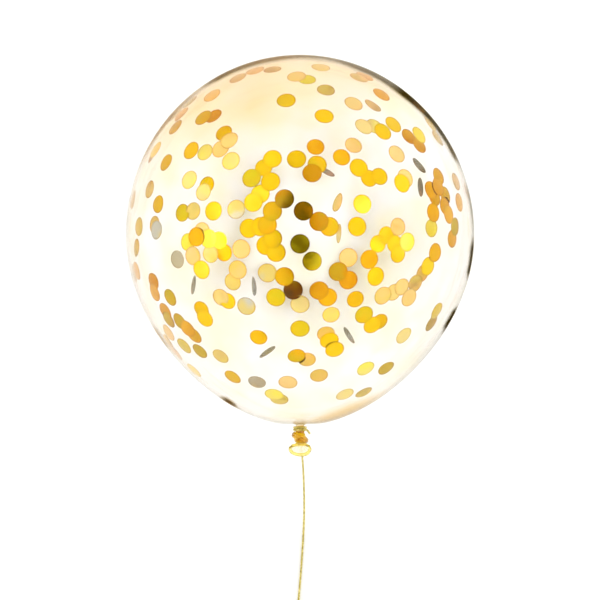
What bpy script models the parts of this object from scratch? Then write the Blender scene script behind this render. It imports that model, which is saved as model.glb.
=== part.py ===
"""Confetti balloon lying on its side, with its string.

A firmly filled round latex balloon: crown towards +Y, neck towards -Y, resting on a small flat
spot at z = 0 below its widest section. The knot is tied in the balloon's own neck, and the tail
with its rolled lip turns up a little beyond it. A thin cord goes twice round the neck, drops to
the floor, runs on along -Y and ends in a banded coil. Lengths are in metres, +Z is up.
"""
import math

import bmesh
import bpy
from mathutils import Matrix, Vector
from mathutils.geometry import interpolate_bezier

# Body: a round form, a little longer than wide and slimmer towards the neck
BODY_RADIUS = 0.145
CROWN_LENGTH = 0.150          # widest section to the crown
THROAT_LENGTH = 0.1585        # widest section to where the round form would close
THROAT_TAPER = 0.15           # share by which the neck end is slimmer than an ellipse
FLAT_SPOT_RADIUS = 0.027      # where the balloon rests

# Neck: the body draws in to it with a hollow curve
SHOULDER_RADIUS = 0.021       # where the hollow curve leaves the round form
SHOULDER_REACH = 0.007        # how stiffly the curve leaves the body
NECK_REACH = 0.0030           # how stiffly it meets the neck
NECK_DROP = 0.0004            # from the round form's end to the straight neck
NECK_RADIUS = 0.0036

# Knot in the neck: a core with one turn of the neck drawn slantwise round it
KNOT_RADIUS = 0.0054
WRAP_RADIUS = 0.0043
WRAP_THICKNESS = 0.0058
WRAP_SLANT = math.radians(28)

# Tail: flares from the knot to the rolled lip that the balloon was blown through
TAIL_TILT = math.radians(36)
TAIL_LENGTH = 0.0118          # knot centre to the middle of the lip
TAIL_WAIST_RADIUS = 0.0034
TAIL_WAIST_AT = 0.0046        # knot centre to the narrowest place
LIP_RADIUS = 0.0083
LIP_BEAD_RADIUS = 0.0012
MOUTH_DEPTH = 0.0058
MOUTH_END_RADIUS = 0.0012

# String
STRING_DIAMETER = 0.0020
STRING_TURNS = 2              # turns round the neck
STRING_KNOT_WIDTH = 0.0052
STRING_KNOT_HEIGHT = 0.0042
ROUTE_STEP = 2.6              # distance between the tube's points, in string diameters
ROUTE = [
    (0.0000, -0.1612, 0.1338),
    (0.0003, -0.1656, 0.1200),
    (0.0007, -0.1709, 0.1068),
    (0.0014, -0.1817, 0.0811),
    (0.0022, -0.1922, 0.0609),
    (0.0028, -0.2022, 0.0444),
    (0.0032, -0.2117, 0.0319),
    (0.0035, -0.2222, 0.0206),
    (0.0036, -0.2322, 0.0126),
    (0.0035, -0.2422, 0.0067),
    (0.0032, -0.2522, 0.0031),
    (0.0027, -0.2622, 0.0015),
    (0.0021, -0.2722, 0.0012),
    (0.0013, -0.2840, 0.0012),
    (0.0004, -0.2960, 0.0012),
    (-0.0006, -0.3080, 0.0012),
    (-0.0014, -0.3180, 0.0012),
    (-0.0018, -0.3310, 0.0012),
]

# Coil of the spare string, flat on the floor, and the band round it
COIL_RADIUS = 0.012           # to the middle of its turns
COIL_ROWS = 5                 # turns side by side
COIL_LAYERS = 2               # turns on each other
TIE_WIDTH = 0.004
TIE_THICKNESS = 0.0004
TIE_CLEARANCE = 0.0006        # the band is straight where the coil bends

GAP = 0.0003                  # between pieces that touch

# Faces
BODY_STEPS = 48
TAIL_STEPS = 32
RING_STEPS = 28


def clear_scene():
    for obj in list(bpy.data.objects):
        bpy.data.objects.remove(obj, do_unlink=True)


def new_collection(name):
    collection = bpy.data.collections.new(name)
    bpy.context.scene.collection.children.link(collection)
    return collection


def principled(name, colour, roughness, metallic, transmission=0.0):
    material = bpy.data.materials.new(name)
    material.use_nodes = True
    shader = material.node_tree.nodes["Principled BSDF"]
    shader.inputs["Base Color"].default_value = (*colour, 1.0)
    shader.inputs["Roughness"].default_value = roughness
    shader.inputs["Metallic"].default_value = metallic
    shader.inputs["Transmission Weight"].default_value = transmission
    return material


def add_object(name, data, collection, parent=None):
    obj = bpy.data.objects.new(name, data)
    collection.objects.link(obj)
    obj.parent = parent
    return obj


def as_cutter(obj):
    obj.hide_render = True
    obj.display_type = "WIRE"
    return obj


def turned(name, profile, steps, collection, parent=None, closed=False):
    """A profile of (radius, height) points, run down its outer side, turned about Z."""
    mesh = bpy.data.meshes.new(name)
    edges = [(i, i + 1) for i in range(len(profile) - 1)]
    if closed:
        edges.append((len(profile) - 1, 0))
    mesh.from_pydata([(radius, 0.0, height) for radius, height in profile], edges, [])
    obj = add_object(name, mesh, collection, parent)
    screw = obj.modifiers.new("turn", "SCREW")
    screw.axis = "Z"
    screw.steps = steps
    screw.render_steps = steps
    screw.use_merge_vertices = True
    screw.merge_threshold = 0.00001
    screw.use_smooth_shade = True
    return obj


def solid_from(name, build, collection, parent=None):
    """A mesh object whose shape is made by a function of its bmesh, shaded smooth."""
    mesh = bpy.data.meshes.new(name)
    bm = bmesh.new()
    build(bm)
    bm.to_mesh(mesh)
    bm.free()
    mesh.shade_smooth()
    return add_object(name, mesh, collection, parent)


def ball(name, size, collection, parent, segments=24, rings=12):
    """A ball stretched to a width, depth and height."""
    def build(bm):
        stretch = Matrix.Diagonal((size[0] / 2, size[1] / 2, size[2] / 2, 1.0))
        bmesh.ops.create_uvsphere(
            bm, u_segments=segments, v_segments=rings, radius=1.0, matrix=stretch)
    return solid_from(name, build, collection, parent)


def torus(name, radius, thickness, steps, sides, collection, parent):
    """A turned ring of round section."""
    profile = []
    for i in range(sides):
        angle = -2 * math.pi * i / sides
        profile.append((
            radius + thickness / 2 * math.cos(angle),
            thickness / 2 * math.sin(angle)))
    return turned(name, profile, steps, collection, parent, closed=True)


def boolean(obj, operation, other):
    modifier = obj.modifiers.new(f"{operation.lower()} {other.name}", "BOOLEAN")
    modifier.operation = operation
    modifier.solver = "EXACT"
    modifier.object = other


def axis_height():
    """Height of the balloon's axis above the floor, with the flat spot cut off below."""
    return math.sqrt(BODY_RADIUS ** 2 - FLAT_SPOT_RADIUS ** 2)


def neck_start():
    return THROAT_LENGTH + NECK_DROP


def neck_end():
    return neck_start() + STRING_TURNS * STRING_DIAMETER + 2 * GAP


def knot_distance():
    """From the widest section to the middle of the knot, clear of the string's turns."""
    half_length = WRAP_THICKNESS / 2 + WRAP_RADIUS * math.sin(WRAP_SLANT)
    return neck_end() + half_length + GAP


def throat_point(angle):
    """Radius and height on the neck side of the round form; the angle is 0 at its widest."""
    radius = BODY_RADIUS * math.cos(angle) * (1 - THROAT_TAPER * math.sin(angle) ** 2)
    return Vector((radius, -THROAT_LENGTH * math.sin(angle)))


def shoulder_angle():
    """The angle at which the round form has narrowed to the shoulder's radius."""
    low, high = 0.0, math.pi / 2
    for _ in range(40):
        middle = (low + high) / 2
        if throat_point(middle).x > SHOULDER_RADIUS:
            low = middle
        else:
            high = middle
    return low


def body_profile():
    crown_rows, throat_rows, neck_rows = 14, 13, 8
    profile = []
    for i in range(crown_rows):
        angle = math.pi / 2 * i / crown_rows
        profile.append((BODY_RADIUS * math.sin(angle), CROWN_LENGTH * math.cos(angle)))
    shoulder = shoulder_angle()
    for i in range(throat_rows):
        profile.append(tuple(throat_point(shoulder * i / throat_rows)))
    start = throat_point(shoulder)
    direction = (throat_point(shoulder + 0.001) - throat_point(shoulder - 0.001)).normalized()
    end = Vector((NECK_RADIUS, -neck_start()))
    curve = interpolate_bezier(
        start, start + SHOULDER_REACH * direction, end + Vector((0.0, NECK_REACH)), end,
        neck_rows)
    profile.extend((point.x, point.y) for point in curve)
    profile.append((NECK_RADIUS, -knot_distance()))
    profile.append((0.0, -knot_distance()))
    return profile


def tail_profile():
    """Down the outside of the tail, round the rolled lip and up into its mouth."""
    flare_rows, bead_rows = 7, 9
    profile = [(0.0, 0.0), (TAIL_WAIST_RADIUS, 0.0)]
    bead_start, bead_end = math.radians(110), math.radians(-190)

    def bead_point(angle):
        return (
            LIP_RADIUS + LIP_BEAD_RADIUS * math.cos(angle),
            -TAIL_LENGTH + LIP_BEAD_RADIUS * math.sin(angle))

    flare_radius, flare_height = bead_point(bead_start)
    for i in range(flare_rows):
        share = i / flare_rows
        profile.append((
            TAIL_WAIST_RADIUS + (flare_radius - TAIL_WAIST_RADIUS) * share ** 2,
            -TAIL_WAIST_AT + (flare_height + TAIL_WAIST_AT) * share))
    for i in range(bead_rows + 1):
        profile.append(bead_point(bead_start + (bead_end - bead_start) * i / bead_rows))
    profile.append((MOUTH_END_RADIUS, -TAIL_LENGTH + MOUTH_DEPTH))
    profile.append((0.0, -TAIL_LENGTH + MOUTH_DEPTH))
    return profile


def make_balloon(parts, cutters, axis, material):
    """The latex: body, neck, knot, tail and lip as one solid, cut flat where it rests."""
    balloon = turned("balloon", body_profile(), BODY_STEPS, parts, axis)
    balloon.data.materials.append(material)
    knot_place = (0.0, 0.0, -knot_distance())

    core_width = 2 * KNOT_RADIUS
    core = ball("knot core", (core_width, core_width, core_width), cutters, axis)
    core.location = knot_place
    wrap = torus("knot wrap", WRAP_RADIUS, WRAP_THICKNESS, RING_STEPS, 12, cutters, axis)
    wrap.location = knot_place
    wrap.rotation_euler = (0.0, WRAP_SLANT, 0.0)
    tail = turned("tail", tail_profile(), TAIL_STEPS, cutters, axis)
    tail.location = knot_place
    tail.rotation_euler = (-TAIL_TILT, 0.0, 0.0)
    for piece in (core, wrap, tail):
        boolean(balloon, "UNION", as_cutter(piece))

    def build_floor_cut(bm):
        bmesh.ops.create_cube(bm, size=2 * BODY_RADIUS)
    floor_cut = solid_from("floor cut", build_floor_cut, cutters)
    floor_cut.location = (0.0, 0.0, -BODY_RADIUS)
    boolean(balloon, "DIFFERENCE", as_cutter(floor_cut))
    return balloon


def make_string_knot(parts, cutters, axis, material):
    """Turns of string round the neck, and the knot below them that the lead leaves from."""
    ring_radius = NECK_RADIUS + GAP + STRING_DIAMETER / 2
    first_turn = neck_start() + GAP + STRING_DIAMETER / 2
    overlap = 0.06 * STRING_DIAMETER
    rings = []
    for i in range(STRING_TURNS):
        collection = parts if i == 0 else cutters
        name = "string_knot" if i == 0 else f"string turn {i + 1}"
        ring = torus(name, ring_radius, STRING_DIAMETER, RING_STEPS, 10, collection, axis)
        ring.location.z = -first_turn - i * (STRING_DIAMETER - overlap)
        rings.append(ring)
    knot = ball(
        "string knot", (STRING_KNOT_WIDTH, STRING_KNOT_HEIGHT, STRING_KNOT_WIDTH),
        cutters, axis, segments=16, rings=10)
    middle = -(neck_start() + neck_end()) / 2
    knot.location = (0.0, ring_radius + STRING_DIAMETER / 2 + GAP, middle)
    for piece in rings[1:] + [knot]:
        boolean(rings[0], "UNION", as_cutter(piece))
    rings[0].data.materials.append(material)
    return rings[0]


def smooth_route(points, step):
    """Points a given distance apart on a Catmull-Rom curve through the route's points."""
    ends = [2 * points[0] - points[1]] + points + [2 * points[-1] - points[-2]]
    fine = []
    samples = 40
    for before, start, end, after in zip(ends, ends[1:], ends[2:], ends[3:]):
        for i in range(samples):
            t = i / samples
            fine.append(0.5 * (
                2 * start + (end - before) * t
                + (2 * before - 5 * start + 4 * end - after) * t ** 2
                + (3 * start - before - 3 * end + after) * t ** 3))
    fine.append(points[-1])
    lengths = [0.0]
    for first, second in zip(fine, fine[1:]):
        lengths.append(lengths[-1] + (second - first).length)
    count = max(2, round(lengths[-1] / step))
    evenly = []
    index = 0
    for i in range(count + 1):
        target = lengths[-1] * i / count
        while index < len(fine) - 2 and lengths[index + 1] < target:
            index += 1
        span = lengths[index + 1] - lengths[index]
        evenly.append(fine[index].lerp(fine[index + 1], (target - lengths[index]) / span))
    return evenly


def make_string_lead(parts, material):
    """The uncoiled stretch, from the knot at the neck down to the floor and on to the coil."""
    curve = bpy.data.curves.new("string_lead", "CURVE")
    curve.dimensions = "3D"
    curve.bevel_depth = STRING_DIAMETER / 2
    curve.bevel_resolution = 2
    curve.use_fill_caps = True
    route = smooth_route([Vector(point) for point in ROUTE], ROUTE_STEP * STRING_DIAMETER)
    spline = curve.splines.new("POLY")
    spline.points.add(len(route) - 1)
    for spline_point, place in zip(spline.points, route):
        spline_point.co = (*place, 1.0)
    curve.materials.append(material)
    return add_object("string_lead", curve, parts)


def coil_size():
    """Width and height of the coil's bundle of turns."""
    return COIL_ROWS * STRING_DIAMETER, COIL_LAYERS * STRING_DIAMETER


def coil_centre():
    """The lead runs straight into the coil's outer turn, and stops short of the bundle."""
    width, height = coil_size()
    lift = TIE_THICKNESS + TIE_CLEARANCE
    outer_turn = COIL_RADIUS + (width - STRING_DIAMETER) / 2
    clear = COIL_RADIUS + width / 2 + GAP
    lead_side = outer_turn - STRING_DIAMETER / 2
    end = ROUTE[-1]
    return Vector((
        end[0] + outer_turn,
        end[1] - math.sqrt(clear ** 2 - lead_side ** 2),
        lift + height / 2))


def rounded_section(width, height, corner, steps=3):
    """Outline of a rounded rectangle about the origin, clockwise from the top of its right side."""
    outline = []
    corners = ((1, 1, 90), (1, -1, 0), (-1, -1, -90), (-1, 1, -180))
    for side_x, side_y, first in corners:
        for i in range(steps + 1):
            angle = math.radians(first - 90 * i / steps)
            outline.append((
                side_x * (width / 2 - corner) + corner * math.cos(angle),
                side_y * (height / 2 - corner) + corner * math.sin(angle)))
    return outline


def make_string_coil(parts, material):
    """The outer shape of the coiled spare string: a turned ring."""
    width, height = coil_size()
    section = rounded_section(width, height, STRING_DIAMETER)
    profile = [(COIL_RADIUS + across, up) for across, up in section]
    coil = turned("string_coil", profile, RING_STEPS, parts, closed=True)
    coil.location = coil_centre()
    coil.data.materials.append(material)
    return coil


def make_coil_tie(parts, material):
    """A straight paper band round the coil's bundle, on the side away from the balloon."""
    width, height = coil_size()
    curve = bpy.data.curves.new("coil_tie", "CURVE")
    curve.dimensions = "2D"
    curve.fill_mode = "BOTH"
    curve.extrude = TIE_WIDTH / 2
    for margin in (TIE_CLEARANCE + TIE_THICKNESS, TIE_CLEARANCE):
        outline = rounded_section(
            width + 2 * margin, height + 2 * margin, STRING_DIAMETER + margin)
        spline = curve.splines.new("POLY")
        spline.points.add(len(outline) - 1)
        for spline_point, place in zip(spline.points, outline):
            spline_point.co = (*place, 0.0, 1.0)
        spline.use_cyclic_u = True
    curve.materials.append(material)
    tie = add_object("coil_tie", curve, parts)
    tie.location = coil_centre() + Vector((0.0, -COIL_RADIUS, 0.0))
    tie.rotation_euler = (math.pi / 2, 0.0, math.pi / 2)
    return tie


def main():
    clear_scene()
    parts = new_collection("confetti balloon")
    cutters = new_collection("cutters")
    latex = principled("clear latex", (0.96, 0.93, 0.88), 0.08, 0.0, transmission=0.9)
    gold_string = principled("gold string", (0.78, 0.62, 0.22), 0.38, 0.6)
    paper = principled("paper band", (0.93, 0.90, 0.82), 0.75, 0.0)

    axis = add_object("balloon axis", None, parts)
    axis.location = (0.0, 0.0, axis_height())
    axis.rotation_euler = (-math.pi / 2, 0.0, 0.0)

    make_balloon(parts, cutters, axis, latex)
    make_string_knot(parts, cutters, axis, gold_string)
    make_string_lead(parts, gold_string)
    make_string_coil(parts, gold_string)
    make_coil_tie(parts, paper)


main()
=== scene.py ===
import math
import random

import bpy
from mathutils import Matrix, Vector, noise
from mathutils.geometry import interpolate_bezier


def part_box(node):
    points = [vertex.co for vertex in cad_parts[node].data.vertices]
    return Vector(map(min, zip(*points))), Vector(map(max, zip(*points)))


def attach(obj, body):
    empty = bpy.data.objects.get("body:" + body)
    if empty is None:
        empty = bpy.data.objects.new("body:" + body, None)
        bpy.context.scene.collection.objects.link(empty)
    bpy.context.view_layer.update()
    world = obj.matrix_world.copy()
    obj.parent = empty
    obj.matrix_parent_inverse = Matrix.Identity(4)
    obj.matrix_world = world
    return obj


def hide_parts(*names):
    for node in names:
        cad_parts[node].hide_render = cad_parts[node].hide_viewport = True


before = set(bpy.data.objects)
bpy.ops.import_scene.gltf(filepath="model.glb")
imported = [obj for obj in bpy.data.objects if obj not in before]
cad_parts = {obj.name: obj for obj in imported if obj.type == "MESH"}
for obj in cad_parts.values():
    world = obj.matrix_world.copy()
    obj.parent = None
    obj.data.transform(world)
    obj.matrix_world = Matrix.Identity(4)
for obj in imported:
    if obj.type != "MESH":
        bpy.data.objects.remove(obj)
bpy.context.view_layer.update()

# The balloon lies along Y with its crown towards +Y, and its axis runs above the floor
bodyLow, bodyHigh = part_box("balloon")
bodyRadius = bodyHigh.x
axisHeight = bodyHigh.z - bodyRadius
crownLength = bodyHigh.y
tieLow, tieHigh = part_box("string_knot")
coilLow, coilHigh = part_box("string_coil")
bandLow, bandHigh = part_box("coil_tie")


def selectOnly(*objects):
    if bpy.context.mode != "OBJECT":
        bpy.ops.object.mode_set(mode="OBJECT")
    bpy.ops.object.select_all(action="DESELECT")
    for obj in objects:
        obj.select_set(True)
    bpy.context.view_layer.objects.active = objects[0]


def joinAs(name, objects):
    selectOnly(*objects)
    if len(objects) > 1:
        bpy.ops.object.join()
    joined = bpy.context.view_layer.objects.active
    joined.name = name
    joined.data.name = name
    return joined


def bakePlace(obj):
    selectOnly(obj)
    bpy.ops.object.transform_apply(location=True, rotation=True, scale=True)


def applyModifier(obj, kind, **values):
    selectOnly(obj)
    modifier = obj.modifiers.new(kind.lower(), kind)
    for key, value in values.items():
        setattr(modifier, key, value)
    bpy.ops.object.modifier_apply(modifier=modifier.name)


def placePiece(obj, slotName, *nodes):
    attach(obj, "root")
    if nodes:
        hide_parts(*nodes)


# Camera: straight above the lying balloon, crown at the top of the picture
cameraSetup = {
    "height": 3.0,            # above the balloon's widest section
    "pictureWidth": 0.500,    # what the picture spans there
    "centreY": -0.054,
    "sensor": 36.0,
}


def addCamera():
    s = cameraSetup
    bpy.ops.object.camera_add(location=(0, s["centreY"], axisHeight + s["height"]))
    camera = bpy.context.object
    camera.name = "camera"
    camera.data.sensor_width = s["sensor"]
    camera.data.lens = s["sensor"] * s["height"] / s["pictureWidth"]
    camera.data.clip_end = 20
    bpy.context.scene.camera = camera


addCamera()
print("camera set")


# String: a three ply gold cord from the knot at the neck to the coil on the floor
stringSetup = {
    "length": 1.0,
    "diameter": 0.0020,
    "plies": 3,
    "pitch": 0.0076,          # length of one full twist
    "stepsPerTwist": 10,
    "coilRows": 5,
    "coilLayers": 2,
    "turnPoints": 36,         # round each turn of the coil
    "shiftArc": math.radians(70),  # where a turn moves over to the next place
    "joinLength": 0.0086,     # from the lead's end to the start of the coil's first turn
    "joinPoints": 8,
    "routeSteps": 12,         # from each point of the route to the next
}

stringRoute = [
    (0.0000, -0.1612, 0.1338),
    (0.0003, -0.1656, 0.1200),
    (0.0007, -0.1709, 0.1068),
    (0.0014, -0.1817, 0.0811),
    (0.0022, -0.1922, 0.0609),
    (0.0028, -0.2022, 0.0444),
    (0.0032, -0.2117, 0.0319),
    (0.0035, -0.2222, 0.0206),
    (0.0036, -0.2322, 0.0126),
    (0.0035, -0.2422, 0.0067),
    (0.0032, -0.2522, 0.0031),
    (0.0027, -0.2622, 0.0015),
    (0.0021, -0.2722, 0.0012),
    (0.0013, -0.2840, 0.0012),
    (0.0004, -0.2960, 0.0012),
    (-0.0006, -0.3080, 0.0012),
    (-0.0014, -0.3180, 0.0012),
    (-0.0018, -0.3310, 0.0012),
]


def smoothPath(points, samples):
    points = [Vector(p) for p in points]
    ends = [2 * points[0] - points[1]] + points + [2 * points[-1] - points[-2]]
    fine = []
    for before, start, end, after in zip(ends, ends[1:], ends[2:], ends[3:]):
        for i in range(samples):
            t = i / samples
            fine.append(0.5 * (
                2 * start + (end - before) * t
                + (2 * before - 5 * start + 4 * end - after) * t ** 2
                + (3 * start - before - 3 * end + after) * t ** 3))
    fine.append(points[-1])
    return fine


def evenPath(points, step, length=None):
    lengths = [0.0]
    for first, second in zip(points, points[1:]):
        lengths.append(lengths[-1] + (second - first).length)
    total = length or lengths[-1]
    if total > lengths[-1] + 1e-6:
        raise ValueError(f"the string's path is {lengths[-1]:.3f} m long, under {total:.3f} m")
    count = max(2, round(total / step))
    even, index = [], 0
    for i in range(count + 1):
        target = total * i / count
        while index < len(points) - 2 and lengths[index + 1] < target:
            index += 1
        span = max(lengths[index + 1] - lengths[index], 1e-9)
        even.append(points[index].lerp(points[index + 1], (target - lengths[index]) / span))
    return even


def coilPath():
    s = stringSetup
    d = s["diameter"]
    centre = (coilLow + coilHigh) / 2
    middle = (coilHigh.x - coilLow.x) / 2 - s["coilRows"] * d / 2
    places = []               # radius and height of each turn, layer by layer
    for layer in range(s["coilLayers"]):
        rows = list(range(s["coilRows"]))
        if layer % 2:
            rows.reverse()
        for row in rows:
            places.append((
                middle + ((s["coilRows"] - 1) / 2 - row) * d,
                coilLow.z + d / 2 + layer * d))
    points = []
    for turn, (radius, height) in enumerate(places):
        following = places[min(turn + 1, len(places) - 1)]
        for i in range(s["turnPoints"]):
            turned = 2 * math.pi * i / s["turnPoints"]
            share = max(0.0, (turned - (2 * math.pi - s["shiftArc"])) / s["shiftArc"])
            share = share * share * (3 - 2 * share)
            r = radius + (following[0] - radius) * share
            z = height + (following[1] - height) * share
            angle = math.pi + turned
            points.append(Vector((
                centre.x + r * math.cos(angle), centre.y + r * math.sin(angle), z)))
    return points


def stringPath():
    s = stringSetup
    lead = smoothPath(stringRoute, s["routeSteps"])
    coil = coilPath()
    bridge = interpolate_bezier(
        lead[-1], lead[-1] + Vector((0, -s["joinLength"] / 3, 0)),
        coil[0] + Vector((0, s["joinLength"] / 3, 0)), coil[0], s["joinPoints"])
    return lead + bridge[1:-1] + coil


def twistedStrands(name, path):
    s = stringSetup
    d, plies = s["diameter"], s["plies"]
    strandRadius = d / 2 / (1 + 2 / math.sqrt(3))
    offset = d / 2 - strandRadius
    side = Vector((1, 0, 0))
    travelled = 0.0
    rings = []
    for i, point in enumerate(path):
        ahead = path[min(i + 1, len(path) - 1)] - path[max(i - 1, 0)]
        forward = ahead.normalized()
        side = (side - forward * side.dot(forward)).normalized()
        across = forward.cross(side)
        if i:
            travelled += (point - path[i - 1]).length
        turn = 2 * math.pi * travelled / s["pitch"]
        rings.append([
            point + offset * (
                math.cos(turn + 2 * math.pi * ply / plies) * side
                + math.sin(turn + 2 * math.pi * ply / plies) * across)
            for ply in range(plies)])
    strands = []
    for ply in range(plies):
        curve = bpy.data.curves.new(f"{name}Ply{ply}", "CURVE")
        curve.dimensions = "3D"
        curve.bevel_depth = strandRadius
        curve.bevel_resolution = 1
        curve.use_fill_caps = True
        spline = curve.splines.new("POLY")
        spline.points.add(len(rings) - 1)
        for splinePoint, ring in zip(spline.points, rings):
            splinePoint.co = (*ring[ply], 1)
        strand = bpy.data.objects.new(f"{name}Ply{ply}", curve)
        bpy.context.scene.collection.objects.link(strand)
        selectOnly(strand)
        bpy.ops.object.convert(target="MESH")
        strands.append(strand)
    joined = joinAs(name, strands)
    selectOnly(joined)
    bpy.ops.object.shade_smooth()
    return joined


def makeString():
    s = stringSetup
    path = evenPath(stringPath(), s["pitch"] / s["stepsPerTwist"], s["length"])
    string = twistedStrands("goldString", path)
    placePiece(string, "gold_string", "string_lead", "string_coil")
    return string, path


goldString, goldStringPath = makeString()
print("string laid and coiled")


# The string's two turns and knot round the neck
neckTieSetup = {
    "turns": 2,
    "turnPoints": 40,
    "shiftArc": math.radians(50),  # where the first turn moves over to the second, behind the knot
    "knotLoop": 0.0016,       # size of the small knot's loops
    "knotPoints": 60,
    "knotRise": 0.0024,       # knot's middle above the lowest point of the whole
    "endFrom": (0.0018, 0.0004, -0.0004),
    "endRoute": [
        (0.0024, -0.0010, -0.0010), (0.0048, -0.0028, -0.0030), (0.0062, -0.0050, -0.0062)],
    "endSteps": 6,
}


def twistAlong(name, path):
    s = stringSetup
    return twistedStrands(name, evenPath(path, s["pitch"] / s["stepsPerTwist"]))


def makeNeckTie():
    s = neckTieSetup
    d = stringSetup["diameter"]
    radius = (tieHigh.x - tieLow.x) / 2 - d / 2
    middleY = (tieLow.y + tieHigh.y) / 2
    path = []
    steps = s["turnPoints"] * s["turns"]
    halfShift = s["shiftArc"] / 2
    for i in range(steps + 1):
        turned = 2 * math.pi * s["turns"] * (i / steps - 0.5)
        share = min(max((turned + halfShift) / (2 * halfShift), 0.0), 1.0)
        share = share * share * (3 - 2 * share)
        angle = turned - math.pi / 2
        path.append(Vector((
            radius * math.cos(angle), middleY + d * (0.5 - share),
            axisHeight + radius * math.sin(angle))))
    wound = twistAlong("neckTieTurns", path)
    middle = Vector((0, middleY, tieLow.z + s["knotRise"]))
    knot = []
    for i in range(s["knotPoints"] + 1):
        t = 2 * math.pi * i / s["knotPoints"]
        knot.append(middle + s["knotLoop"] * Vector((
            (math.sin(t) + 2 * math.sin(2 * t)) / 2,
            (math.cos(t) - 2 * math.cos(2 * t)) / 2,
            -math.sin(3 * t) * 0.75)))
    knotted = twistAlong("neckTieKnot", knot)
    endStart = middle + Vector(s["endFrom"])
    endPoints = [endStart] + [endStart + Vector(step) for step in s["endRoute"]]
    freeEnd = smoothPath(endPoints, s["endSteps"])
    loose = twistAlong("neckTieEnd", freeEnd)
    neckTie = joinAs("neckTie", [wound, knotted, loose])
    placePiece(neckTie, "gold_string", "string_knot")
    return neckTie


neckTie = makeNeckTie()
print("string tied round the neck")


# The paper band round the coil
bandSetup = {
    "wall": 0.0004,
    "corner": 0.0026,
    "cornerSteps": 5,
}


def makePaperBand():
    s = bandSetup
    centre = (bandLow + bandHigh) / 2
    width = bandHigh.x - bandLow.x
    bpy.ops.mesh.primitive_plane_add(size=1, location=centre, rotation=(math.pi / 2, 0, math.pi / 2))
    band = bpy.context.object
    band.name = "paperBand"
    band.scale = (bandHigh.y - bandLow.y, bandHigh.z - bandLow.z, 1)
    bakePlace(band)
    bpy.ops.object.mode_set(mode="EDIT")
    bpy.ops.mesh.select_all(action="SELECT")
    bpy.ops.mesh.delete(type="ONLY_FACE")
    bpy.ops.mesh.select_all(action="SELECT")
    bpy.ops.mesh.bevel(
        offset=s["corner"], segments=s["cornerSteps"], affect="VERTICES")
    bpy.ops.mesh.select_all(action="SELECT")
    bpy.ops.transform.translate(value=(-width / 2, 0, 0))
    bpy.ops.mesh.extrude_edges_move(TRANSFORM_OT_translate={"value": (width, 0, 0)})
    bpy.ops.mesh.select_all(action="SELECT")
    bpy.ops.mesh.normals_make_consistent(inside=False)
    bpy.ops.object.mode_set(mode="OBJECT")
    applyModifier(band, "SOLIDIFY", thickness=s["wall"], offset=-1.0)
    selectOnly(band)
    bpy.ops.object.shade_smooth_by_angle(angle=math.radians(40))
    placePiece(band, "paper", "coil_tie")
    return band


paperBand = makePaperBand()
print("coil banded")


# Skin: the blown latex from the crown to the neck, one thin closed wall
skinSetup = {
    "throatLength": 0.1585,   # from the widest section to where the round form would close
    "throatTaper": 0.15,
    "shoulderRadius": 0.021,  # where the hollow curve to the neck begins
    "shoulderReach": 0.007,
    "neckReach": 0.003,
    "neckStart": 0.1589,
    "neckRadius": 0.0036,
    "neckEnd": 0.1650,        # inside the knot
    "turnSteps": 168,
    "crownRows": 44,
    "throatRows": 42,
    "neckRows": 18,
    "wall": 0.0003,
    "pleats": 14,
    "pleatDepth": 0.10,       # share of the radius at the neck
    "pleatDrift": 1.3,        # how unevenly they are spaced
    "pleatsFrom": 0.024,      # radius at which the gathers begin
    "flatSoftness": 0.0005,
    # how dark the painted outline is round the sides, a painted dark reflection where the film is seen
    # edge on, by the angle in degrees from +X towards +Y
    "paintedOutlineDashes": [
        (-180, 0.06), (-150, 0.06), (-146, 0.5), (-141, 0.5), (-138, 0.06), (-117, 0.06),
        (-114.5, 0.95), (-111.5, 0.95), (-109, 0.08), (-60, 0.12), (-35, 0.3), (-32, 1.0), (-26, 1.0),
        (-24, 0.25), (-15, 0.25), (-13, 0.95), (-4, 0.95), (0, 0.35), (7, 0.6), (14, 0.6), (18, 0.2),
        (23, 0.3), (27, 0.85), (54, 1.0), (59, 0.75), (80, 0.65), (118, 0.8), (125, 0.4), (138, 0.65),
        (150, 0.5), (160, 0.08), (180, 0.06)],
}


def throatPoint(angle):
    s = skinSetup
    narrowed = 1 - s["throatTaper"] * math.sin(angle) ** 2
    return Vector((bodyRadius * math.cos(angle) * narrowed, -s["throatLength"] * math.sin(angle)))


def shoulderAngle():
    low, high = 0.0, math.pi / 2
    for _ in range(40):
        middle = (low + high) / 2
        if throatPoint(middle).x > skinSetup["shoulderRadius"]:
            low = middle
        else:
            high = middle
    return low


def skinProfile():
    s = skinSetup
    profile = []
    for i in range(s["crownRows"]):
        angle = math.pi / 2 * i / s["crownRows"]
        profile.append(Vector((bodyRadius * math.sin(angle), crownLength * math.cos(angle))))
    shoulder = shoulderAngle()
    for i in range(s["throatRows"]):
        profile.append(throatPoint(shoulder * i / s["throatRows"]))
    start = throatPoint(shoulder)
    direction = (throatPoint(shoulder + 0.001) - throatPoint(shoulder - 0.001)).normalized()
    end = Vector((s["neckRadius"], -s["neckStart"]))
    curve = interpolate_bezier(
        start, start + s["shoulderReach"] * direction, end + Vector((0, s["neckReach"])), end,
        s["neckRows"])
    profile.extend(point.to_2d() for point in curve)
    profile.append(Vector((s["neckRadius"], -(s["neckStart"] + s["neckEnd"]) / 2)))
    profile.append(Vector((s["neckRadius"], -s["neckEnd"])))
    profile.append(Vector((0, -s["neckEnd"])))
    return profile


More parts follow.
